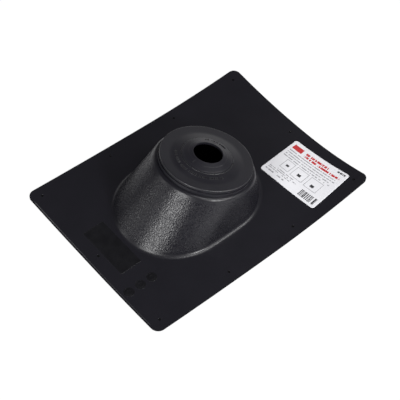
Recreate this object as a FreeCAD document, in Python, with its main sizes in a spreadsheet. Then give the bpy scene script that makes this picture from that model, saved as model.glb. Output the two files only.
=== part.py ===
from collections import namedtuple
import FreeCAD, Part
import math
import os
import Sketcher

# Pipe flashing boot for a sloping roof: a moulded base plate with a hollow oval dome, an elastomer
# collar that clips over the neck on top of the dome and grips the vent pipe, and a product label.
#
# Frame: origin at the centre of the plate's underside, +X up the roof slope, +Y to the left of
# someone looking up the slope, +Z square to the roof. The pipe stands plumb, so the collar is
# tilted from +Z towards +X by the roof's pitch.

DIMENSIONS = [
    # roof plate
    ("plate_length", 400.0, "along the slope"),
    ("plate_width", 292.4, "across the slope"),
    ("plate_thickness", 2.4, ""),
    ("plate_corner_radius", 12.0, ""),
    ("bend_clearance", 0.6, "from the dome's flare to the lines where the corners bend"),
    # the four corners have curled up: rise of each sharp corner above the flat middle
    ("curl_high_left", 11.0, "upslope corner, left"),
    ("curl_high_right", 19.0, "upslope corner, right"),
    ("curl_low_left", 3.0, "downslope corner, left"),
    ("curl_low_right", 6.0, "downslope corner, right"),
    ("curl_overrun", 12.0, "past the sharp corner, before the outline is trimmed"),
    # nail-starting dimples along the edges
    ("nail_end_inset", 17.0, "from the plate's ends"),
    ("nail_side_inset", 15.2, "from the plate's sides"),
    ("nail_dimple_radius", 2.4, "of the ball that forms a dimple"),
    ("nail_dimple_depth", 1.0, ""),
    # dome
    ("dome_radius", 83.0, "half width of the oval foot at the plate's top"),
    ("dome_low_reach", 54.5, "foot's downslope arc centre, from the origin"),
    ("dome_high_reach", 4.0, "foot's upslope arc centre, from the origin"),
    ("side_bow_radius", 900.0, "of the foot's long sides, which are almost straight"),
    ("wall_thickness", 2.6, ""),
    # the wall leans, so these insets are under its thickness and keep it even all round
    ("hollow_foot_share", 0.8, "inset of the hollow's foot, over the wall's thickness"),
    ("hollow_top_share", 0.7, "inset of the hollow's top, over the wall's thickness"),
    ("flare_radius", 7.0, "between dome and plate"),
    ("shoulder_width", 72.5, "radius where wall and ledge would meet, unrounded"),
    ("shoulder_radius", 5.0, ""),
    # seat of the collar
    ("roof_angle", 12.8, "degrees, about 3 in 12"),
    ("flange_height", 67.8, "centre of the flange's top above the plate's top"),
    ("flange_offset", 8.1, "centre of the flange's top, upslope of the origin"),
    ("neck_radius", 65.0, "outside of the upright neck"),
    ("neck_wall", 2.2, ""),
    # collar
    ("collar_skirt_depth", 10.0, "flange's top down to the ledge"),
    ("collar_skirt_radius", 68.4, "lower band of the skirt"),
    ("collar_flange_radius", 67.4, "upper band of the skirt"),
    ("collar_flange_edge", 4.2, "height of the upper band"),
    ("collar_flange_rounding", 1.5, ""),
    ("collar_relief_height", 0.8, "groove between the two bands"),
    ("collar_relief_depth", 0.7, ""),
    ("collar_web", 3.0, "thickness of the flat web"),
    ("collar_lip_wall", 2.5, "lip inside the neck"),
    ("collar_lip_depth", 5.5, "below the web"),
    ("collar_clearance", 0.1, "on each side of the neck"),
    ("cone_foot_radius", 52.0, ""),
    ("cone_foot_rounding", 24.0, ""),
    ("cone_wall", 2.6, "measured along the pipe"),
    ("tear_ring_radius", 36.9, "cut line for a larger pipe"),
    ("tear_ring_rise", 3.2, "above the flange's top"),
    ("tear_ring_step", 0.9, ""),
    ("tear_groove_width", 1.6, "thin line under the step"),
    ("tear_groove_depth", 0.9, ""),
    ("bore_radius", 21.2, "unstretched pipe bore"),
    ("bore_rise", 9.2, "above the flange's top"),
    ("bore_lip_length", 3.4, "along the pipe"),
    ("bore_land", 0.8, "flat rim round the bore's mouth"),
    # label
    ("label_length", 104.7, "across the slope"),
    ("label_height", 81.3, "along the slope"),
    ("label_film", 0.2, ""),
    ("label_lift", 0.3, "adhesive between film and plate"),
    ("label_corner_radius", 4.0, ""),
    ("label_end_inset", 58.8, "label's centre from the upslope end"),
    ("label_side_inset", 73.2, "label's centre from the right side"),
    ("label_angle", 3.4, "degrees anticlockwise from square"),
]


class Size:
    """A number together with the spreadsheet expression that gives it."""

    def __init__(self, number, text):
        self.number = number
        self.text = text

    @staticmethod
    def of(value):
        return value if isinstance(value, Size) else Size(float(value), repr(float(value)))

    def __add__(self, other):
        other = Size.of(other)
        return Size(self.number + other.number, f"({self.text} + {other.text})")

    def __sub__(self, other):
        other = Size.of(other)
        return Size(self.number - other.number, f"({self.text} - {other.text})")

    def __rsub__(self, other):
        return Size.of(other) - self

    def __mul__(self, other):
        other = Size.of(other)
        return Size(self.number * other.number, f"({self.text} * {other.text})")

    def __truediv__(self, other):
        other = Size.of(other)
        return Size(self.number / other.number, f"({self.text} / {other.text})")

    def __rtruediv__(self, other):
        return Size.of(other) / self

    def __neg__(self):
        return Size(-self.number, f"(0 - {self.text})")

    __radd__ = __add__
    __rmul__ = __mul__


def sine(angle):
    return Size(math.sin(math.radians(angle.number)), f"sin({angle.text})")


def cosine(angle):
    return Size(math.cos(math.radians(angle.number)), f"cos({angle.text})")


def root(area):
    return Size(math.sqrt(area.number), f"sqrt({area.text})")


def larger(first, second):
    first, second = Size.of(first), Size.of(second)
    return Size(max(first.number, second.number), f"max({first.text}; {second.text})")


def arctangent(ratio):
    return Size(math.degrees(math.atan(ratio.number)), f"(atan({ratio.text}) / 1 deg)")


def arcsine(ratio):
    return Size(math.degrees(math.asin(ratio.number)), f"(asin({ratio.text}) / 1 deg)")


doc = FreeCAD.newDocument("pipe_flashing_boot")
sheet = doc.addObject("Spreadsheet::Sheet", "sizes")
for row, (alias, number, note) in enumerate(DIMENSIONS, start=1):
    sheet.set(f"A{row}", alias)
    sheet.set(f"B{row}", str(number))
    sheet.set(f"C{row}", note)
    sheet.setAlias(f"B{row}", alias)
doc.recompute()
size = {alias: Size(float(sheet.get(alias)), f"sizes.{alias}") for alias, *_ in DIMENSIONS}

# ---------------------------------------------------------------------------------------------
# Sizes that follow from the driving ones


half_length = size["plate_length"] / 2
half_width = size["plate_width"] / 2
plate_top = size["plate_thickness"]

# The middle of the plate is a flat rhombus, cut off a little by the plate's edges. Its sides are
# the bend lines, square to bend_angle and bend_reach from the origin, and just clear the dome's
# flare. Each corner beyond them is a piece of cylinder.
bend_angle = arctangent(half_length / half_width)
bend_reach = (size["dome_low_reach"] * cosine(bend_angle) + size["dome_radius"]
              + size["flare_radius"] + size["bend_clearance"])
middle_x = bend_reach / cosine(bend_angle)
middle_y = bend_reach / sine(bend_angle)
rhombus_side = root(middle_x * middle_x + middle_y * middle_y)
bend_to_side = middle_y * middle_y / rhombus_side
bend_to_end = middle_x * middle_x / rhombus_side
corner_reach = half_length * cosine(bend_angle) + half_width * sine(bend_angle)
curl_run = corner_reach - bend_reach

Corner = namedtuple("Corner", "curl_angle mirrored sign_x sign_y rise")
CORNERS = {
    "high_left": Corner(bend_angle, False, 1, 1, size["curl_high_left"]),
    "low_left": Corner(180 - bend_angle, True, -1, 1, size["curl_low_left"]),
    "low_right": Corner(180 + bend_angle, False, -1, -1, size["curl_low_right"]),
    "high_right": Corner(360 - bend_angle, True, 1, -1, size["curl_high_right"]),
}


def curl_radius(rise):
    """Radius of the plate's underside where a corner curls up by rise."""
    return curl_run * curl_run / (rise * 2) + rise / 2


pitch = size["roof_angle"]


def on_pipe_axis(height):
    """Point (x, z) on the collar's axis, height above the flange's top."""
    return (size["flange_offset"] + height * sine(pitch),
            plate_top + size["flange_height"] + height * cosine(pitch))


ledge_height = -size["collar_skirt_depth"]
hollow_height = ledge_height - size["wall_thickness"]
neck_height = -size["collar_web"]
neck_bore = size["neck_radius"] - size["neck_wall"]

# The foot's round ends run smoothly into its bowed sides.
end_radius = size["dome_radius"]
side_radius = size["side_bow_radius"]
side_turn = arcsine((size["dome_low_reach"] + size["dome_high_reach"]) / 2 / (side_radius - end_radius))
side_middle_x = (size["dome_high_reach"] - size["dome_low_reach"]) / 2
side_centre_y = (side_radius - end_radius) * cosine(side_turn)

hollow_foot_inset = size["wall_thickness"] * size["hollow_foot_share"]
hollow_top_radius = size["shoulder_width"] - size["wall_thickness"] * size["hollow_top_share"]


def rim_turn(foot_inset, foot_height, rim_radius, rim_height, end_x, lean_x):
    """Degrees past square at which a wall's straight line, from a joint of the foot, meets the rim.

    The joint lies on the round end about end_x, where the foot's normal leans by lean_x along X.
    The line lies in the plane that touches both the foot there and the tilted rim, so the end and
    side walls on the two sides of the line run smoothly into each other.
    """
    rim_x, rim_z = on_pipe_axis(rim_height)
    tilt, upright = sine(pitch), cosine(pitch)
    foot_out = end_radius - foot_inset + (end_x - rim_x) * lean_x
    rise = rim_z - foot_height
    squared = rim_radius * rim_radius
    spread = rise * rise - squared * tilt * tilt
    middle = foot_out * rise - squared * lean_x * tilt * upright
    gap = foot_out * foot_out - squared * (1 - lean_x * lean_x * tilt * tilt)
    lean = (middle - root(middle * middle - spread * gap)) / spread
    return arctangent((lean * tilt - lean_x * upright) / cosine(side_turn))


label_x = half_length - size["label_end_inset"]
label_y = size["label_side_inset"] - half_width

# ---------------------------------------------------------------------------------------------
# Sketching


def bind(thing, where, length):
    thing.setExpression(where, length.text)


def new_body(name):
    body = doc.addObject("PartDesign::Body", name)
    body.Label = name
    return body


def plane_of(body, role):
    return next(feature for feature in body.Origin.OriginFeatures if feature.Role == role)


def attach(body, thing, role, base, turn_axis=(0, 0, 1), turn=None):
    """Attach a sketch or primitive to an origin plane, at a place and turn that the sheet drives."""
    angle = turn.number if turn is not None else 0.0
    thing.AttachmentSupport = [(plane_of(body, role), "")]
    thing.MapMode = "FlatFace"
    place = [Size.of(coordinate) for coordinate in base]
    thing.AttachmentOffset = FreeCAD.Placement(
        FreeCAD.Vector(*[coordinate.number for coordinate in place]),
        FreeCAD.Rotation(FreeCAD.Vector(*turn_axis), angle))
    for letter, coordinate in zip("xyz", place):
        bind(thing, f".AttachmentOffset.Base.{letter}", coordinate)
    if turn is not None:
        bind(thing, ".AttachmentOffset.Rotation.Angle", turn)


def new_sketch(body, name, role="XY_Plane", base=(0, 0, 0), **turned):
    sketch = body.newObject("Sketcher::SketchObject", name)
    attach(body, sketch, role, base, **turned)
    return sketch


def tilted_sketch(body, name, height):
    """Sketch square to the pipe, height above the flange's top."""
    x, z = on_pipe_axis(height)
    return new_sketch(body, name, base=(x, 0, z), turn_axis=(0, 1, 0), turn=pitch)


def fix(sketch, kind, *references, length):
    """Add a dimension to a sketch and bind it to the sheet."""
    length = Size.of(length)
    index = sketch.addConstraint(Sketcher.Constraint(kind, *references, length.number))
    sketch.setExpression(f"Constraints[{index}]", length.text)


# How Sketcher numbers the points of an edge, and how it refers to a sketch's origin.
START, END, CENTRE = 1, 2, 3
ORIGIN = (-1, START)


def fix_point(sketch, edge, end, x, y):
    for kind, length in (("DistanceX", Size.of(x)), ("DistanceY", Size.of(y))):
        if abs(length.number) < 1e-9:
            axis = -2 if kind == "DistanceX" else -1
            sketch.addConstraint(Sketcher.Constraint("PointOnObject", edge, end, axis))
        else:
            fix(sketch, kind, *ORIGIN, edge, end, length=length)


def join(sketch, first, first_end, second, second_end):
    sketch.addConstraint(Sketcher.Constraint("Coincident", first, first_end, second, second_end))


def vector(x, y):
    return FreeCAD.Vector(Size.of(x).number, Size.of(y).number, 0)


def arc(centre, radius, start, end):
    """Arc from start to end degrees, anticlockwise."""
    circle = Part.Circle(vector(*centre), FreeCAD.Vector(0, 0, 1), Size.of(radius).number)
    return Part.ArcOfCircle(circle, math.radians(start), math.radians(end))


def draw_polygon(sketch, points):
    """Closed polygon with every corner fixed from the sketch's origin."""
    corners = [vector(*point) for point in points]
    following = corners[1:] + corners[:1]
    edges = [sketch.addGeometry(Part.LineSegment(a, b)) for a, b in zip(corners, following)]
    for edge, after in zip(edges, edges[1:] + edges[:1]):
        join(sketch, edge, END, after, START)
    for edge, point in zip(edges, points):
        fix_point(sketch, edge, START, *point)


def draw_circle(sketch, radius):
    circle = Part.Circle(FreeCAD.Vector(0, 0, 0), FreeCAD.Vector(0, 0, 1), radius.number)
    edge = sketch.addGeometry(circle)
    join(sketch, edge, CENTRE, *ORIGIN)
    fix(sketch, "Radius", edge, length=radius)


def draw_rim(sketch, radius, foot_inset, foot_height, height):
    """Rim of the dome's wall: a circle in four arcs that match the four edges of its foot."""
    joint = (foot_inset, foot_height, radius, height)
    low_turn = rim_turn(*joint, -size["dome_low_reach"], -sine(side_turn))
    high_turn = rim_turn(*joint, size["dome_high_reach"], sine(side_turn))
    low_angle, high_angle = 90 + low_turn.number, 90 + high_turn.number
    spans = [(low_angle, 360 - low_angle), (360 - low_angle, 360 - high_angle),
             (360 - high_angle, 360 + high_angle), (high_angle, low_angle)]
    low, right, high, left = [sketch.addGeometry(arc((0, 0), radius, *span)) for span in spans]
    for edge in (low, right, high, left):
        join(sketch, edge, CENTRE, *ORIGIN)
    for edge, after in ((low, right), (right, high), (high, left)):
        join(sketch, edge, END, after, START)
    fix(sketch, "Radius", low, length=radius)
    low_x, high_x = -radius * sine(low_turn), -radius * sine(high_turn)
    for edge, end, place in ((low, START, low_x), (right, START, low_x), (right, END, high_x),
                             (left, START, high_x), (left, END, low_x)):
        fix(sketch, "DistanceX", *ORIGIN, edge, end, length=place)


def draw_foot(sketch, inset):
    """Foot of the dome's wall: two round ends and two bowed sides, all inset from its outside."""
    round_end, bowed_side = end_radius - inset, side_radius - inset
    low_x, high_x = -size["dome_low_reach"], size["dome_high_reach"]
    turn = side_turn.number
    low = sketch.addGeometry(arc((low_x, 0), round_end, 90 + turn, 270 - turn))
    right = sketch.addGeometry(arc((side_middle_x, side_centre_y), bowed_side, 270 - turn, 270 + turn))
    high = sketch.addGeometry(arc((high_x, 0), round_end, 270 + turn, 450 - turn))
    left = sketch.addGeometry(arc((side_middle_x, -side_centre_y), bowed_side, 90 - turn, 90 + turn))
    for first, second in ((low, right), (right, high), (high, left), (left, low)):
        sketch.addConstraint(Sketcher.Constraint("Tangent", first, END, second, START))
    fix(sketch, "Radius", low, length=round_end)
    fix(sketch, "Radius", right, length=bowed_side)
    sketch.addConstraint(Sketcher.Constraint("Equal", low, high))
    sketch.addConstraint(Sketcher.Constraint("Equal", right, left))
    fix_point(sketch, low, CENTRE, low_x, 0)
    fix_point(sketch, high, CENTRE, high_x, 0)


def draw_rounded_rectangle(sketch, length, width, radius):
    """Rectangle about the sketch's origin with rounded corners."""
    x, y = length / 2, width / 2
    near_x, near_y = x - radius, y - radius
    arcs, lines = [], []
    for start, sign_x, sign_y in ((0, 1, 1), (90, -1, 1), (180, -1, -1), (270, 1, -1)):
        centre = (near_x * sign_x, near_y * sign_y)
        arcs.append(sketch.addGeometry(arc(centre, radius, start, start + 90)))
    for a, b in (((near_x, y), (-near_x, y)), ((-x, near_y), (-x, -near_y)),
                 ((-near_x, -y), (near_x, -y)), ((x, -near_y), (x, near_y))):
        lines.append(sketch.addGeometry(Part.LineSegment(vector(*a), vector(*b))))
    for corner, line, after in zip(arcs, lines, arcs[1:] + arcs[:1]):
        sketch.addConstraint(Sketcher.Constraint("Tangent", corner, END, line, START))
        sketch.addConstraint(Sketcher.Constraint("Tangent", line, END, after, START))
        if corner != arcs[0]:
            sketch.addConstraint(Sketcher.Constraint("Equal", arcs[0], corner))
    fix(sketch, "Radius", arcs[0], length=radius)
    fix_point(sketch, arcs[0], CENTRE, near_x, near_y)
    fix_point(sketch, arcs[2], CENTRE, -near_x, -near_y)


def add(body, kind, name, sketch, **settings):
    """Add a sketch-based feature; a Size among its settings is bound to the sheet."""
    feature = body.newObject(f"PartDesign::{kind}", name)
    if sketch is not None:
        feature.Profile = sketch
    for key, value in settings.items():
        if isinstance(value, Size):
            setattr(feature, key, value.number)
            bind(feature, key, value)
        else:
            setattr(feature, key, value)
    doc.recompute()
    return feature


def round_edges(body, name, base, radius, is_wanted):
    """Fillet the edges of base whose sample points all pass is_wanted."""
    chosen = []
    for number, edge in enumerate(base.Shape.Edges, start=1):
        if all(is_wanted(point) for point in edge.discretize(5)):
            chosen.append(f"Edge{number}")
    if not chosen:
        raise RuntimeError(f"{name}: no edges found")
    return add(body, "Fillet", name, None, Base=(base, chosen), Radius=radius)


def pipe_coordinates(point):
    """Radius from the pipe's axis and height above the flange's top."""
    x, z = on_pipe_axis(Size.of(0))
    away = point - FreeCAD.Vector(x.number, 0, z.number)
    axis = FreeCAD.Vector(sine(pitch).number, 0, cosine(pitch).number)
    height = away.dot(axis)
    return (away - axis * height).Length, height


def near(value, wanted):
    return abs(value - Size.of(wanted).number) < 0.01


def on_foot(point, height, inset):
    """True on the foot line of the dome's wall, at that height above the underside."""
    rounds = ((-size["dome_low_reach"], Size.of(0), end_radius),
              (size["dome_high_reach"], Size.of(0), end_radius),
              (side_middle_x, side_centre_y, side_radius),
              (side_middle_x, -side_centre_y, side_radius))
    return near(point.z, height) and any(
        near(math.hypot(point.x - x.number, point.y - y.number), radius - inset)
        for x, y, radius in rounds)


def on_ring(point, height, radius):
    """True on a ring about the pipe's axis."""
    away, up = pipe_coordinates(point)
    return near(away, radius) and near(up, height)


# ---------------------------------------------------------------------------------------------
# Sheets that follow the curled plate


def add_flat_middle(body, low, thickness):
    """Flat rhombus of the plate or of something lying on it."""
    sketch = new_sketch(body, f"{body.Name}_middle_outline", base=(0, 0, low))
    draw_polygon(sketch, [(middle_x, 0), (0, middle_y), (-middle_x, 0), (0, -middle_y)])
    add(body, "Pad", f"{body.Name}_middle", sketch, Length=thickness)


def add_curled_corner(body, name, low, thickness):
    """Curled corner between two heights above the plate's underside."""
    corner = CORNERS[name]
    centre_height = curl_radius(corner.rise)
    tip = corner_reach + size["curl_overrun"]
    sketch = new_sketch(body, f"{body.Name}_{name}_section", role="XZ_Plane",
                        turn_axis=(0, 1, 0), turn=corner.curl_angle)
    ends = []
    for height in (low, low + thickness):
        radius = centre_height - height
        tip_angle = math.degrees(math.asin((tip - bend_reach).number / radius.number))
        edge = sketch.addGeometry(arc((bend_reach, centre_height), radius, 270, 270 + tip_angle))
        fix_point(sketch, edge, CENTRE, bend_reach, centre_height)
        fix(sketch, "Radius", edge, length=radius)
        fix(sketch, "DistanceX", *ORIGIN, edge, START, length=bend_reach)
        fix(sketch, "DistanceX", *ORIGIN, edge, END, length=tip)
        ends.append(edge)
    under, over = [sketch.Geometry[edge] for edge in ends]
    tip_line = sketch.addGeometry(Part.LineSegment(under.EndPoint, over.EndPoint))
    root_line = sketch.addGeometry(Part.LineSegment(over.StartPoint, under.StartPoint))
    join(sketch, ends[0], END, tip_line, START)
    join(sketch, tip_line, END, ends[1], END)
    join(sketch, ends[1], START, root_line, START)
    join(sketch, root_line, END, ends[0], START)
    lengths = (bend_to_side, bend_to_end) if corner.mirrored else (bend_to_end, bend_to_side)
    add(body, "Pad", f"{body.Name}_{name}", sketch, SideType="Two sides",
        Length=lengths[0], Length2=lengths[1])


def trim_outline(body, name, length, width, radius, **placed):
    """Cut away all that lies outside a rounded rectangle seen from above."""
    sketch = new_sketch(body, f"{name}_outline", **placed)
    draw_rounded_rectangle(sketch, length, width, radius)
    far = size["plate_length"] + size["plate_width"]
    draw_polygon(sketch, [(far, far), (-far, far), (-far, -far), (far, -far)])
    add(body, "Pocket", f"{name}_trim", sketch, Type="ThroughAll", SideType="Symmetric")


# ---------------------------------------------------------------------------------------------
# Base: plate and dome in one moulding


def build_base():
    body = new_body("base_flashing")

    add_flat_middle(body, Size.of(0), plate_top)
    for name in CORNERS:
        add_curled_corner(body, name, Size.of(0), plate_top)
    trim_outline(body, "plate", size["plate_length"], size["plate_width"], size["plate_corner_radius"])

    # The dome rises from an oval foot to the tilted ledge that carries the collar.
    foot = new_sketch(body, "dome_foot", base=(0, 0, plate_top))
    draw_foot(foot, 0)
    rim = tilted_sketch(body, "dome_rim", ledge_height)
    draw_rim(rim, size["shoulder_width"], 0, plate_top, ledge_height)
    dome = add(body, "AdditiveLoft", "dome", foot, Sections=[rim], Ruled=True)

    shoulder = round_edges(body, "shoulder", dome, size["shoulder_radius"],
                           lambda point: on_ring(point, ledge_height, size["shoulder_width"]))
    round_edges(body, "flare", shoulder, size["flare_radius"],
                lambda point: on_foot(point, plate_top, 0))

    neck_outline = tilted_sketch(body, "neck_outline", ledge_height)
    draw_circle(neck_outline, size["neck_radius"])
    add(body, "Pad", "neck", neck_outline, Length=neck_height - ledge_height)

    # Inside, the hollow follows the wall and opens through the plate.
    hollow_foot = new_sketch(body, "hollow_foot")
    draw_foot(hollow_foot, hollow_foot_inset)
    hollow_top = tilted_sketch(body, "hollow_top", hollow_height)
    draw_rim(hollow_top, hollow_top_radius, hollow_foot_inset, 0, hollow_height)
    hollow = add(body, "SubtractiveLoft", "hollow", hollow_foot, Sections=[hollow_top], Ruled=True)

    inner_shoulder = round_edges(body, "inner_shoulder", hollow,
                                 size["shoulder_radius"] - size["wall_thickness"],
                                 lambda point: on_ring(point, hollow_height, hollow_top_radius))
    round_edges(body, "inner_flare", inner_shoulder, size["flare_radius"] + size["wall_thickness"],
                lambda point: on_foot(point, 0, hollow_foot_inset))

    neck_opening = tilted_sketch(body, "neck_opening", Size.of(0))
    draw_circle(neck_opening, neck_bore)
    add(body, "Pocket", "neck_bore", neck_opening, Length=size["wall_thickness"] - hollow_height)

    add_nail_dimples(body)
    return body


def add_nail_dimples(body):
    """Ten shallow dimples that start the roofing nails."""
    far_x = half_length - size["nail_end_inset"]
    far_y = half_width - size["nail_side_inset"]
    spots = [(far_x * sign, Size.of(0), None) for sign in (-1, 1)]
    for corner in CORNERS.values():
        for share in (1, 1 / 3):
            spots.append((far_x * (corner.sign_x * share), far_y * corner.sign_y, (share, corner.rise)))
    for number, (x, y, curl) in enumerate(spots, start=1):
        surface = plate_top
        if curl is not None:
            share, rise = curl
            past_bend = larger(0, far_x * share / middle_x + far_y / middle_y - 1) * bend_reach
            top_radius = curl_radius(rise) - plate_top
            surface = curl_radius(rise) - root(top_radius * top_radius - past_bend * past_bend)
        ball = body.newObject("PartDesign::SubtractiveSphere", f"nail_dimple_{number}")
        ball.Radius = size["nail_dimple_radius"].number
        bind(ball, "Radius", size["nail_dimple_radius"])
        height = surface + size["nail_dimple_radius"] - size["nail_dimple_depth"]
        attach(body, ball, "XY_Plane", (x, y, height), turn_axis=(1, 0, 0), turn=Size.of(90))
        doc.recompute()


# ---------------------------------------------------------------------------------------------
# Collar: one elastomer moulding, turned about the pipe's axis


def build_collar():
    body = new_body("collar")
    x, z = on_pipe_axis(Size.of(0))
    section = new_sketch(body, "collar_section", role="XZ_Plane", base=(x, z, 0),
                         turn_axis=(0, 0, 1), turn=360 - pitch)

    web_under = -size["collar_web"]
    skirt_inner = size["neck_radius"] + size["collar_clearance"]
    lip_outer = neck_bore - size["collar_clearance"]
    lip_inner = lip_outer - size["collar_lip_wall"]
    relief_top = -size["collar_flange_edge"]
    relief_low = relief_top - size["collar_relief_height"]
    relief_radius = size["collar_flange_radius"] - size["collar_relief_depth"]
    step_top = size["tear_ring_rise"] + size["tear_ring_step"]
    groove_low = size["tear_ring_radius"] - size["tear_groove_width"] / 2
    groove_high = size["tear_ring_radius"] + size["tear_groove_width"] / 2
    tear_under = size["tear_ring_rise"] - size["cone_wall"]
    bore_under = size["bore_rise"] - size["bore_lip_length"]
    lip_foot = size["bore_radius"] + size["cone_wall"]

    draw_polygon(section, [
        (size["collar_flange_radius"], 0),
        (size["cone_foot_radius"], 0),
        (size["tear_ring_radius"], size["tear_ring_rise"]),
        (size["tear_ring_radius"], step_top),
        (size["bore_radius"] + size["bore_land"], size["bore_rise"]),
        (size["bore_radius"], size["bore_rise"]),
        (size["bore_radius"], bore_under),
        (lip_foot, bore_under),
        (groove_low, tear_under),
        (groove_low, tear_under + size["tear_groove_depth"]),
        (groove_high, tear_under + size["tear_groove_depth"]),
        (groove_high, tear_under),
        (size["cone_foot_radius"], web_under),
        (lip_inner, web_under),
        (lip_inner, web_under - size["collar_lip_depth"]),
        (lip_outer, web_under - size["collar_lip_depth"]),
        (lip_outer, neck_height),
        (skirt_inner, neck_height),
        (skirt_inner, ledge_height),
        (size["collar_skirt_radius"], ledge_height),
        (size["collar_skirt_radius"], relief_low),
        (relief_radius, relief_low),
        (relief_radius, relief_top),
        (size["collar_flange_radius"], relief_top),
    ])
    turned = add(body, "Revolution", "collar_turned", section,
                 ReferenceAxis=(section, ["V_Axis"]), Angle=360.0)

    edge = round_edges(body, "flange_rounding", turned, size["collar_flange_rounding"],
                       lambda point: on_ring(point, 0, size["collar_flange_radius"]))
    round_edges(body, "cone_foot", edge, size["cone_foot_rounding"],
                lambda point: on_ring(point, 0, size["cone_foot_radius"]))
    return body


# ---------------------------------------------------------------------------------------------
# Label: a thin film that lies on the plate and follows its curled corner


def build_label():
    body = new_body("label")
    under = plate_top + size["label_lift"]
    add_flat_middle(body, under, size["label_film"])
    add_curled_corner(body, "high_right", under, size["label_film"])
    trim_outline(body, "label", size["label_height"], size["label_length"], size["label_corner_radius"],
                 base=(label_x, label_y, 0), turn=size["label_angle"])
    return body


# ---------------------------------------------------------------------------------------------

pieces = [build_base(), build_collar(), build_label()]
doc.recompute()

for thing in doc.Objects:
    if "Invalid" in thing.State or "Error" in thing.State:
        raise RuntimeError(f"{thing.Name} failed: {thing.State}")
for piece in pieces:
    if piece.Shape.isNull() or not piece.Shape.isValid() or len(piece.Shape.Solids) != 1:
        raise RuntimeError(f"{piece.Label} is not one valid solid")

os.makedirs("parts", exist_ok=True)
for piece in pieces:
    piece.Shape.exportStep(f"parts/{piece.Label}.step")
    box = piece.Shape.BoundBox
    print(f"{piece.Label}: {piece.Shape.Volume / 1000:.2f} cm3, {len(piece.Shape.Faces)} faces, "
          f"x {box.XMin:.2f} to {box.XMax:.2f}, y {box.YMin:.2f} to {box.YMax:.2f}, "
          f"z {box.ZMin:.2f} to {box.ZMax:.2f}")
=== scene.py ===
import bpy
import bmesh
import math
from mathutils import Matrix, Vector
from mathutils.bvhtree import BVHTree


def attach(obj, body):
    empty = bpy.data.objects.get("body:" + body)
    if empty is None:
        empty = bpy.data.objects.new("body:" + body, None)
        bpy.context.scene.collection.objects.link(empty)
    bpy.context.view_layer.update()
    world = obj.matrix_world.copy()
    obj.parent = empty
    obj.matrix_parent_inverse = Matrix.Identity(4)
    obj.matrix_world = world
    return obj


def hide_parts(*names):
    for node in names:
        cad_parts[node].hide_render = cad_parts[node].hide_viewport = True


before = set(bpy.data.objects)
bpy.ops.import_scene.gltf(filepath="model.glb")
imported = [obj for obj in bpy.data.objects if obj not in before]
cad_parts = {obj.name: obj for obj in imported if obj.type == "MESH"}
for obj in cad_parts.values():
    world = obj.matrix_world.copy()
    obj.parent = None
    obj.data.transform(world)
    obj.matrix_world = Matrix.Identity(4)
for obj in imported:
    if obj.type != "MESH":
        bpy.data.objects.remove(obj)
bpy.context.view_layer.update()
scene = bpy.context.scene
scene.view_settings.view_transform = "Standard"
mm = 0.001

# ---------------------------------------------------------------------------
# How finishes are written: a Field is a number or colour that varies over a surface, so a finish
# is plain arithmetic on fields, and Finish.node() adds any other shader node as a Field.


class Field:
    """What one output of a shader node gives, as a value to reckon with."""

    def __init__(self, finish, socket):
        self.finish, self.socket = finish, socket

    def maths(self, operation, *values, **settings):
        return self.finish.node("Math", *values, operation=operation, **settings)

    def __add__(self, other):
        return self.maths("ADD", self, other)

    def __sub__(self, other):
        return self.maths("SUBTRACT", self, other)

    def __rsub__(self, other):
        return self.maths("SUBTRACT", other, self)

    def __mul__(self, other):
        return self.maths("MULTIPLY", self, other)

    def __gt__(self, other):
        return self.maths("GREATER_THAN", self, other)

    def __lt__(self, other):
        return self.maths("LESS_THAN", self, other)

    def __or__(self, other):
        return self.maths("MAXIMUM", self, other)

    def ramp(self, start, end):
        """0 at start, 1 at end, and a soft step between."""
        return self.finish.node("MapRange", self, start, end, interpolation_type="SMOOTHSTEP")

    def band(self, low, high, soft):
        """1 between low and high, 0 outside, with soft edges."""
        return self.ramp(low - soft, low) * self.ramp(high + soft, high)

    def colours(self, first, second):
        """Colour that runs from first to second as the field runs from 0 to 1."""
        return self.finish.node("Mix", self, first, second, data_type="RGBA")

    __radd__ = __add__
    __rmul__ = __mul__


class Finish:
    """A material with one glossy surface, and the nodes that vary it."""

    def __init__(self, name, colour, roughness, **constants):
        self.material = bpy.data.materials.new(name)
        self.material.use_nodes = True
        self.tree = self.material.node_tree
        self.surface = self.tree.nodes["Principled BSDF"]
        constants.update(Base_Color=(*colour, 1), Roughness=roughness)
        for socket, value in constants.items():
            self.surface.inputs[socket.replace("_", " ")].default_value = value

    def node(self, kind, *values, output=None, **settings):
        """Add a shader node; values go to its sockets in order, settings to its options or sockets."""
        node = self.tree.nodes.new("ShaderNode" + kind)
        by_name = {name: value for name, value in settings.items() if name[0].isupper()}
        for name, value in settings.items():
            if name not in by_name:
                setattr(node, name, value)
        sockets = [socket for socket in node.inputs if socket.enabled]
        plugs = list(zip(sockets, values))
        plugs += [(node.inputs[name.replace("_", " ")], value) for name, value in by_name.items()]
        for socket, value in plugs:
            if isinstance(value, Field):
                self.tree.links.new(value.socket, socket)
            else:
                socket.default_value = (*value, 1) if socket.type == "RGBA" else value
        outputs = [socket for socket in node.outputs if socket.enabled]
        return Field(self, node.outputs[output] if output else outputs[0])

    def noise(self, size_mm, detail=2.0):
        """Soft cloudy noise between 0 and 1 whose lumps are about size_mm across."""
        place = self.node("TexCoord", output="Object")
        return self.node("TexNoise", Vector=place, Scale=1000 / size_mm, Detail=detail)

    def shapes(self, colour=None, roughness=None, relief_mm=None):
        """Give the surface a varying colour or roughness, or a relief in millimetres."""
        if relief_mm:
            relief = self.node("Bump", Strength=1.0, Distance=mm, Height=relief_mm)
        for socket, field in (("Base Color", colour), ("Roughness", roughness),
                              ("Normal", relief_mm and relief)):
            if field:
                self.tree.links.new(field.socket, self.surface.inputs[socket])

    def cover(self, thing):
        thing.data.materials.clear()
        thing.data.materials.append(self.material)


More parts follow.
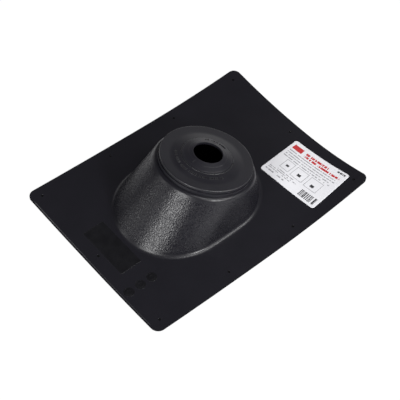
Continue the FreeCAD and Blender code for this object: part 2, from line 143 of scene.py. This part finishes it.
# ---------------------------------------------------------------------------
# Flashing plate and dome: one moulding in black thermoplastic. The solid's shape is right as it
# is, so only its finish is made here: a leather grain on the dome, and hardly any on the plate.

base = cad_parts["base_flashing"]
plastic = Finish("black_grained_plastic", (0.01, 0.01, 0.012), 0.4, Specular_IOR_Level=0.4)
scuff = plastic.noise(45, detail=5)
place = plastic.node("TexCoord", output="Object")
height = plastic.node("SeparateXYZ", place, output="Z")
upslope = plastic.node("SeparateXYZ", place, output="X")
sideways = plastic.node("SeparateXYZ", place, output="Y")
tilt = math.radians(12.8)
collar_seat = 60.25
above_seat = height * (1000 * math.cos(tilt)) + upslope * (1000 * math.sin(tilt)) - collar_seat
from_middle = plastic.node("VectorMath", plastic.node("CombineXYZ", upslope, sideways),
                           operation="LENGTH", output="Value")
curled_corners, plain_plate = 170 * mm, 150 * mm
on_dome = (height.ramp(4 * mm, 9 * mm) * above_seat.ramp(-1.5, -9)
           * from_middle.ramp(curled_corners, plain_plate))
cell_size = 1.9
cells = plastic.node("TexVoronoi", Vector=place, Scale=1000 / cell_size, feature="F1")
grain = plastic.noise(1.5, detail=3)
plastic.shapes(
    colour=scuff.colours((0.0052, 0.0050, 0.0072), (0.0085, 0.0082, 0.0115)),
    roughness=(grain.ramp(0.4, 0.6) * 0.2 - 0.13) * on_dome + 0.35,
    relief_mm=(cells * 0.26 + grain * 0.16) * (on_dome * 0.88 + 0.12) + plastic.noise(30) * 0.25)
plastic.cover(base)

# ---------------------------------------------------------------------------
# Collar: a smooth satin elastomer, with faint turned lines on the cone, and a ridge and a groove
# at the tear ring. Radii are in millimetres from the pipe's axis.

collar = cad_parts["collar"]
rubber = Finish("black_satin_elastomer", (0.01, 0.01, 0.012), 0.4, Specular_IOR_Level=0.45)
top_centre = Vector((8.1 * mm, 0, 70.2 * mm))
on_pipe = rubber.node("Mapping", rubber.node("TexCoord", output="Object"), vector_type="TEXTURE",
                      Location=top_centre, Rotation=(0, tilt, 0))
across = rubber.node("SeparateXYZ", on_pipe, output="X")
along = rubber.node("SeparateXYZ", on_pipe, output="Y")
radius = rubber.node("VectorMath", rubber.node("CombineXYZ", across, along), operation="LENGTH",
                     output="Value") * 1000
turned_lines = radius.band(27.0, 27.4, 0.4) | radius.band(34.2, 34.6, 0.4)
tear_ridge = radius.band(36.2, 36.8, 0.3)
tear_groove = radius.band(37.4, 38.0, 0.3)
haze = rubber.noise(25, detail=3)
rubber.shapes(
    colour=haze.colours((0.0065, 0.0063, 0.0090), (0.0110, 0.0106, 0.0145)),
    roughness=haze * 0.12 + 0.30 + tear_groove * 0.4,
    relief_mm=rubber.noise(0.9) * 0.03 + turned_lines * 0.12 + tear_ridge * 0.5 - tear_groove * 0.9)
rubber.cover(collar)

# ---------------------------------------------------------------------------
# Laid sheets: thin patches that follow the plate's top, such as a moulded panel, a round gate mark
# or the printed label. Each is a grid whose corners are pulled in to their rounding.

plate = BVHTree.FromObject(base, bpy.context.evaluated_depsgraph_get())


def plate_top(x, y):
    """Height of the base's top at a place, all in metres."""
    return plate.ray_cast(Vector((x, y, 0.2)), Vector((0, 0, -1)))[0].z


def laid_sheet(name, centre, half_u, half_v, corner, profile, turn=0.0, step=1.5):
    """Sheet about centre, u running along -Y and v along -X, with a map of u and v from 0 to 1.

    Sizes are in millimetres. profile holds (distance from the edge, height over the plate).
    """
    def stations(half):
        rim = [-half + distance for distance, _ in profile]
        count = math.ceil(2 * (half - profile[-1][0]) / step)
        inner = [rim[-1] * (1 - 2 * index / count) for index in range(1, count)]
        return rim + inner + [-station for station in reversed(rim)]

    mesh = bmesh.new()
    layout = mesh.loops.layers.uv.new("print")
    spin = math.radians(turn)
    columns, rows = stations(half_u), stations(half_v)
    grid = []
    for u in columns:
        for v in rows:
            over_u, over_v = abs(u) - (half_u - corner), abs(v) - (half_v - corner)
            a, b = u, v
            if over_u > 0 and over_v > 0:
                pull = max(over_u, over_v) / math.hypot(over_u, over_v)
                a = math.copysign(half_u - corner + over_u * pull, u)
                b = math.copysign(half_v - corner + over_v * pull, v)
            x = (centre[0] - b * math.cos(spin) + a * math.sin(spin)) * mm
            y = (centre[1] - a * math.cos(spin) - b * math.sin(spin)) * mm
            inset = min(half_u - abs(u), half_v - abs(v))
            lift = profile[-1][1]
            for (near, low), (far, high) in zip(profile, profile[1:]):
                if near <= inset < far:
                    lift = low + (high - low) * (inset - near) / (far - near)
            vertex = mesh.verts.new((x, y, plate_top(x, y) + lift * mm))
            grid.append((vertex, (u / half_u / 2 + 0.5, v / half_v / 2 + 0.5)))
    for i in range(len(columns) - 1):
        for j in range(len(rows) - 1):
            start = i * len(rows) + j
            ring = [grid[start], grid[start + 1], grid[start + len(rows) + 1], grid[start + len(rows)]]
            face = mesh.faces.new([vertex for vertex, _ in ring])
            for loop, (_, on_map) in zip(face.loops, ring):
                loop[layout].uv = on_map
    return finished_piece(name, mesh)


def finished_piece(name, mesh):
    """Turn a bmesh into a smooth object of the scene."""
    mesh.normal_update()
    data = bpy.data.meshes.new(name)
    mesh.to_mesh(data)
    mesh.free()
    data.shade_smooth()
    piece = bpy.data.objects.new(name, data)
    scene.collection.objects.link(piece)
    return piece


# ---------------------------------------------------------------------------
# Moulded panel and three round gate marks on the low part of the plate. The panel is bare.

smooth = Finish("smooth_moulded_black", (0.006, 0.006, 0.008), 0.4, Specular_IOR_Level=0.22)
worn = smooth.noise(12, detail=4)
smooth.shapes(colour=worn.colours((0.0025, 0.0025, 0.0032), (0.0055, 0.0055, 0.0070)),
              roughness=worn * 0.2 + 0.35, relief_mm=smooth.noise(3) * 0.15)
raised_rim = [(0, -0.05), (0.25, 0.2), (0.6, 0.22), (0.9, 0.1), (1.2, 0.08)]
inner_ring = [(3.0, 0.08), (3.4, 0.2), (4.2, 0.2), (4.6, 0.08)]
gate_y, gate_radius = -72, 7.5
raised = [laid_sheet("panel", (-160, 0), 43, 17.2, 1.5, raised_rim)]
for number, gate_x in enumerate((-148, -167.6, -187), start=1):
    raised.append(laid_sheet(f"gate_mark_{number}", (gate_x, gate_y), gate_radius, gate_radius,
                             gate_radius, raised_rim + inner_ring, step=1))
for piece in raised:
    smooth.cover(piece)
    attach(piece, "root")

# ---------------------------------------------------------------------------
# Nail starts: dark, rough discs laid in the bottoms of the ten dimples along the edges, painted shade
# that makes the dimples read as dark spots

# A near-black, rough finish: the darkness of these discs is painted shade in the dimples.
pit_shade_finish = Finish("black_painted_pit_shade", (0.0015, 0.0015, 0.0018), 0.9, Specular_IOR_Level=0.1)
pit_shade_finish.shapes(roughness=pit_shade_finish.noise(1) * 0.2 + 0.75, relief_mm=pit_shade_finish.noise(0.5) * 0.1)
nail_x, nail_y = 183, 131
spots = [(nail_x, 0), (-nail_x, 0)]
for side in (1, -1):
    for edge_y in (nail_y, -nail_y):
        spots.append((nail_x * side, edge_y))
        spots.append((nail_x * side * (1 / 3), edge_y))
pit_shade_radius = 2.05
for number, spot in enumerate(spots, start=1):
    pit_shade_disc = laid_sheet(f"nail_pit_shade_{number}", spot, pit_shade_radius, pit_shade_radius, pit_shade_radius,
                     [(0, 0.01), (0.3, 0.04)], step=0.5)
    pit_shade_finish.cover(pit_shade_disc)
    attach(pit_shade_disc, "root")

# ---------------------------------------------------------------------------
# Moulded lip: a fine straight ridge just inside the low end of the plate, which catches the light.
# Its section holds (distance from the plate's end, height over the plate) in millimetres.

lip = bmesh.new()
section = ((1.5, -0.02), (1.8, 0.3), (2.2, 0.3), (2.7, -0.02))
plate_end, sunk = 200, 0.02
lip_half, lip_step, end_taper = 131, 2, 6
rows = []
for station in range(-lip_half, lip_half + 1, lip_step):
    rise = min(1, (lip_half - abs(station)) / end_taper)
    row = []
    for inset, lift in section:
        x, y = (inset - plate_end) * mm, station * mm
        row.append(lip.verts.new((x, y, plate_top(x, y) + (lift * rise - sunk) * mm)))
    rows.append(row)
for row, following in zip(rows, rows[1:]):
    for side in range(len(section) - 1):
        lip.faces.new((row[side], row[side + 1], following[side + 1], following[side]))
edge = finished_piece("plate_edge_lip", lip)
edge.data.shade_flat()
# The lip's black is lighter than the plate's: a painted highlight along the ridge, on top of the light
# the ridge really catches.
edge_finish = Finish("black_moulded_edge", (0.02, 0.02, 0.023), 0.3, Specular_IOR_Level=0.6)
edge_finish.shapes(roughness=edge_finish.noise(8) * 0.15 + 0.2, relief_mm=edge_finish.noise(6) * 0.05)
edge_finish.cover(edge)
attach(edge, "root")

# ---------------------------------------------------------------------------
# Raised marks on the collar: short plain strokes in two arcs, and one long tick. They stand in for
# raised characters and say nothing.

cone = BVHTree.FromObject(collar, bpy.context.evaluated_depsgraph_get())
axis = Vector((math.sin(tilt), 0, math.cos(tilt)))
up_slope = Vector((math.cos(tilt), 0, -math.sin(tilt)))
across_slope = Vector((0, 1, 0))


def on_collar(radius, turn, lift):
    """Place on the collar's top, from radius and lift in millimetres and turn in degrees."""
    angle = math.radians(turn)
    side = (up_slope * math.cos(angle) + across_slope * math.sin(angle)) * radius * mm
    hit = cone.ray_cast(top_centre + side + axis * 0.05, -axis)[0]
    return hit + axis * lift * mm


def add_stroke(mesh, radii, turns, height):
    """Low block between two radii and two turns, with sloping sides."""
    (inner, outer), (first, last) = radii, turns
    slope, sunk = 0.15, 0.1
    ease = math.degrees(slope / inner)
    foot = [(inner, first), (outer, first), (outer, last), (inner, last)]
    top = [(inner + slope, first + ease), (outer - slope, first + ease),
           (outer - slope, last - ease), (inner + slope, last - ease)]
    low = [mesh.verts.new(on_collar(radius, turn, -sunk)) for radius, turn in foot]
    high = [mesh.verts.new(on_collar(radius, turn, height)) for radius, turn in top]
    mesh.faces.new(high)
    for index in range(4):
        other = (index + 1) % 4
        mesh.faces.new((low[index], low[other], high[other], high[index]))


def ring_of_strokes(mesh, radii, start, end, pitch):
    """Strokes of three lengths in turn, with a wider gap after every fifth."""
    stroke_height = 0.7
    turn, count = start, 0
    while turn < end:
        width = pitch * (0.3, 0.62, 0.45)[count % 3]
        add_stroke(mesh, radii, (turn, turn + width), stroke_height)
        turn += pitch * (1.9 if count % 5 == 4 else 1.0)
        count += 1


# The marks are the collar's rubber, given two copies of its black. The outer arc and the tick get a
# lighter, glossier one, which is painted highlight. The inner arc gets a darker, duller one, which is
# painted shade.
polished_painted_highlight = Finish("black_mark_painted_highlight", (0.02, 0.02, 0.022), 0.3, Specular_IOR_Level=0.7)
polished_painted_highlight.shapes(roughness=polished_painted_highlight.noise(2) * 0.3 + 0.15, relief_mm=polished_painted_highlight.noise(1) * 0.1)
dull_painted_shade = Finish("black_mark_painted_shade", (0.004, 0.004, 0.005), 0.7, Specular_IOR_Level=0.2)
dull_painted_shade.shapes(roughness=dull_painted_shade.noise(2) * 0.2 + 0.6, relief_mm=dull_painted_shade.noise(1) * 0.1)
for name, radii, start, end, pitch, mark_finish in (
        ("outer_marks", (42.3, 46.3), 132, 258, 3.4, polished_painted_highlight),
        ("inner_marks", (29.8, 33.0), -5, 56, 4.2, dull_painted_shade),
        ("pipe_tick", (24.8, 32.0), 182.2, 183.4, 5.0, polished_painted_highlight)):
    marks = bmesh.new()
    ring_of_strokes(marks, radii, start, end, pitch)
    bmesh.ops.recalc_face_normals(marks, faces=marks.faces)
    strokes = finished_piece(name, marks)
    strokes.data.shade_flat()
    mark_finish.cover(strokes)
    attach(strokes, "root")

# ---------------------------------------------------------------------------
# Fine beads round the collar: one at the flange's rim and one at the tear ring. They take the marks'
# lighter black, a painted highlight on beads whose relief is real

bead_sides, bead_steps, bead_sunk = 8, 180, 0.15
for name, bead_radius, tube in (("flange_rim_line", 66.95, 0.36), ("tear_line", 37.3, 0.5)):
    bead = bmesh.new()
    rings = []
    for step in range(bead_steps):
        middle = on_collar(bead_radius, step * 360 / bead_steps, -bead_sunk)
        out = (middle - top_centre - axis * (middle - top_centre).dot(axis)).normalized()
        ring = []
        for side in range(bead_sides):
            angle = 2 * math.pi * side / bead_sides
            way = out * math.cos(angle) + axis * math.sin(angle)
            ring.append(bead.verts.new(middle + way * tube * mm))
        rings.append(ring)
    for ring, following in zip(rings, rings[1:] + rings[:1]):
        for side in range(bead_sides):
            other = (side + 1) % bead_sides
            bead.faces.new((ring[side], ring[other], following[other], following[side]))
    line = finished_piece(name, bead)
    # The lighter black of these beads is painted highlight.
    polished_painted_highlight.cover(line)
    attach(line, "root")

# ---------------------------------------------------------------------------
# Label: printed film that follows the plate, laid out in the label's own u (its length) and
# v (its height), both from 0 to 1. The print is plain blocks and lines.

printed = laid_sheet("printed_label", (141.2, -73.0), 52.2, 40.5, 3.8,
                     [(0, -0.02), (0.15, 0.45), (0.4, 0.5)], turn=3.4)
paper = Finish("printed_film", (0.78, 0.78, 0.8), 0.45)
u = paper.node("SeparateXYZ", paper.node("UVMap", uv_map="print"), output="X")
v = paper.node("SeparateXYZ", paper.node("UVMap", uv_map="print"), output="Y")


def block(left, right, top, bottom):
    """1 inside a box of the print, 0 outside."""
    return (u > left) * (u < right) * (v > top) * (v < bottom)


def frame_line(left, right, top, bottom):
    """The outline of a block."""
    thin_u, thin_v = 0.007, 0.009
    inside = block(left + thin_u, right - thin_u, top + thin_v, bottom - thin_v)
    return block(left, right, top, bottom) - inside


def rule(left, right, top, bottom, breaks):
    """A bar of print with a few gaps of uneven length."""
    own_row = top * 50
    along_rule = paper.node("CombineXYZ", u * breaks, own_row)
    gaps = paper.node("TexNoise", Vector=along_rule, Scale=1.0, Detail=0.0)
    return block(left, right, top, bottom) * (gaps > 0.42)


red = (block(0.05, 0.22, 0.085, 0.195) | rule(0.28, 0.70, 0.095, 0.145, 60)
       | rule(0.28, 0.93, 0.165, 0.21, 50))
black = (rule(0.82, 0.965, 0.04, 0.08, 60) | block(0.215, 0.265, 0.565, 0.61)
         | block(0.44, 0.50, 0.575, 0.635) | block(0.70, 0.76, 0.60, 0.66))
grey = (rule(0.05, 0.90, 0.243, 0.262, 60) | rule(0.05, 0.92, 0.300, 0.319, 50)
        | rule(0.05, 0.86, 0.355, 0.374, 60) | rule(0.05, 0.90, 0.410, 0.429, 50)
        | frame_line(0.16, 0.32, 0.46, 0.70) | frame_line(0.36, 0.575, 0.46, 0.71)
        | frame_line(0.62, 0.84, 0.46, 0.72)
        | rule(0.05, 0.50, 0.750, 0.766, 50) | rule(0.05, 0.56, 0.790, 0.806, 60)
        | rule(0.05, 0.45, 0.830, 0.846, 50) | rule(0.04, 0.38, 0.885, 0.912, 50))
along_bars = paper.node("CombineXYZ", u * 70, 0.0)
bar_widths = paper.node("TexNoise", Vector=along_bars, Scale=1.0, Detail=1.0)
bars = block(0.66, 0.95, 0.79, 0.95) * (bar_widths > 0.5)
blank = paper.noise(20).colours((0.64, 0.64, 0.67), (0.70, 0.70, 0.72))
ink = (grey * 0.75).colours(blank, (0.10, 0.10, 0.11))
ink = ((black | bars) * 0.97).colours(ink, (0.012, 0.012, 0.015))
ink = (red * 0.97).colours(ink, (0.42, 0.012, 0.014))
paper.shapes(colour=ink, roughness=paper.noise(6) * 0.1 + 0.4, relief_mm=paper.noise(12) * 0.1)
paper.cover(printed)
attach(printed, "root")
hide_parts("label")

# ---------------------------------------------------------------------------
# Studio: a pale floor, a black card under the dome, which is painted shade that makes the floor seen
# through the bore black, and soft boxes. A wider card, which the camera doesn't see and which casts no
# shadow, keeps the floor's light off the sides of the plate.

for name, length, width, low in (("floor", 12, 12, -0.6), ("black_card", 0.2, 0.2, -0.3),
                                 ("edge_card", 0.45, 0.342, -0.4)):
    bpy.ops.mesh.primitive_plane_add(size=1, location=(0, 0, low * mm))
    sheet = bpy.context.object
    sheet.name = name
    sheet.scale = (length, width, 1)
unseen = bpy.data.objects["edge_card"]
unseen.visible_camera = False
unseen.visible_shadow = False
pale = Finish("pale_floor", (0.85, 0.85, 0.86), 0.9)
seen = pale.node("LightPath", output="Is Camera Ray")
lit = pale.node("MixShader", seen * 0.95, Field(pale, pale.surface.outputs[0]),
                pale.node("Emission", (1, 1, 1), Strength=1.03))
pale.tree.links.new(lit.socket, pale.tree.nodes["Material Output"].inputs[0])
pale.cover(bpy.data.objects["floor"])
# The card under the dome is painted shade: it makes the floor seen through the bore black.
card = Finish("black_card", (0.01, 0.01, 0.01), 0.9)
for name in ("black_card", "edge_card"):
    card.cover(bpy.data.objects[name])

world = bpy.data.worlds.new("studio")
scene.world = world
world.use_nodes = True
sky = world.node_tree
room = sky.nodes["Background"]
room.inputs["Color"].default_value = (0.97, 0.93, 1, 1)
room.inputs["Strength"].default_value = 0.08
backdrop = sky.nodes.new("ShaderNodeBackground")
backdrop.inputs["Color"].default_value = (1, 1, 1, 1)
choice = sky.nodes.new("ShaderNodeMixShader")
path = sky.nodes.new("ShaderNodeLightPath")
sky.links.new(path.outputs["Is Camera Ray"], choice.inputs[0])
sky.links.new(room.outputs[0], choice.inputs[1])
sky.links.new(backdrop.outputs[0], choice.inputs[2])
sky.links.new(choice.outputs[0], sky.nodes["World Output"].inputs[0])


def softbox(name, azimuth, elevation, distance, width, height, watts):
    """Area light that looks at the dome from a compass direction and height in degrees."""
    lamp = bpy.data.lights.new(name, "AREA")
    lamp.shape, lamp.size, lamp.size_y, lamp.energy = "RECTANGLE", width, height, watts
    box = bpy.data.objects.new(name, lamp)
    scene.collection.objects.link(box)
    turned, lifted = math.radians(azimuth), math.radians(elevation)
    way = Vector((math.cos(turned) * math.cos(lifted), math.sin(turned) * math.cos(lifted),
                  math.sin(lifted)))
    box.location = Vector((0, 0, 30 * mm)) + way * distance
    box.rotation_euler = way.to_track_quat("Z", "Y").to_euler()


softbox("low_left_strip", -165, 27, 1.5, 0.36, 0.7, 14.5)
softbox("left_glow", 147, 19, 1.6, 0.35, 0.5, 2.3)
softbox("right_low", -88, 31, 1.6, 0.18, 0.3, 17)
softbox("right_tall", -48, 45, 1.6, 0.3, 1.0, 12)
softbox("right_high", -80, 70, 1.8, 0.35, 0.35, 8)
softbox("back_left_glow", 80, 10, 1.8, 0.8, 0.5, 1.5)
softbox("back_low_glow", 30, 5, 1.8, 1.4, 0.5, 1.6)
softbox("back_middle_glow", 30, 25, 1.8, 1.0, 0.5, 0.8)

camera = bpy.data.objects.new("camera", bpy.data.cameras.new("camera"))
scene.collection.objects.link(camera)
camera.data.sensor_width = 36
camera.data.lens = 87.48
camera.location = (-0.61564, -0.61576, 1.10507)
camera.rotation_euler = [math.radians(angle) for angle in (37.6148, -3.2318, -40.9234)]
scene.camera = camera
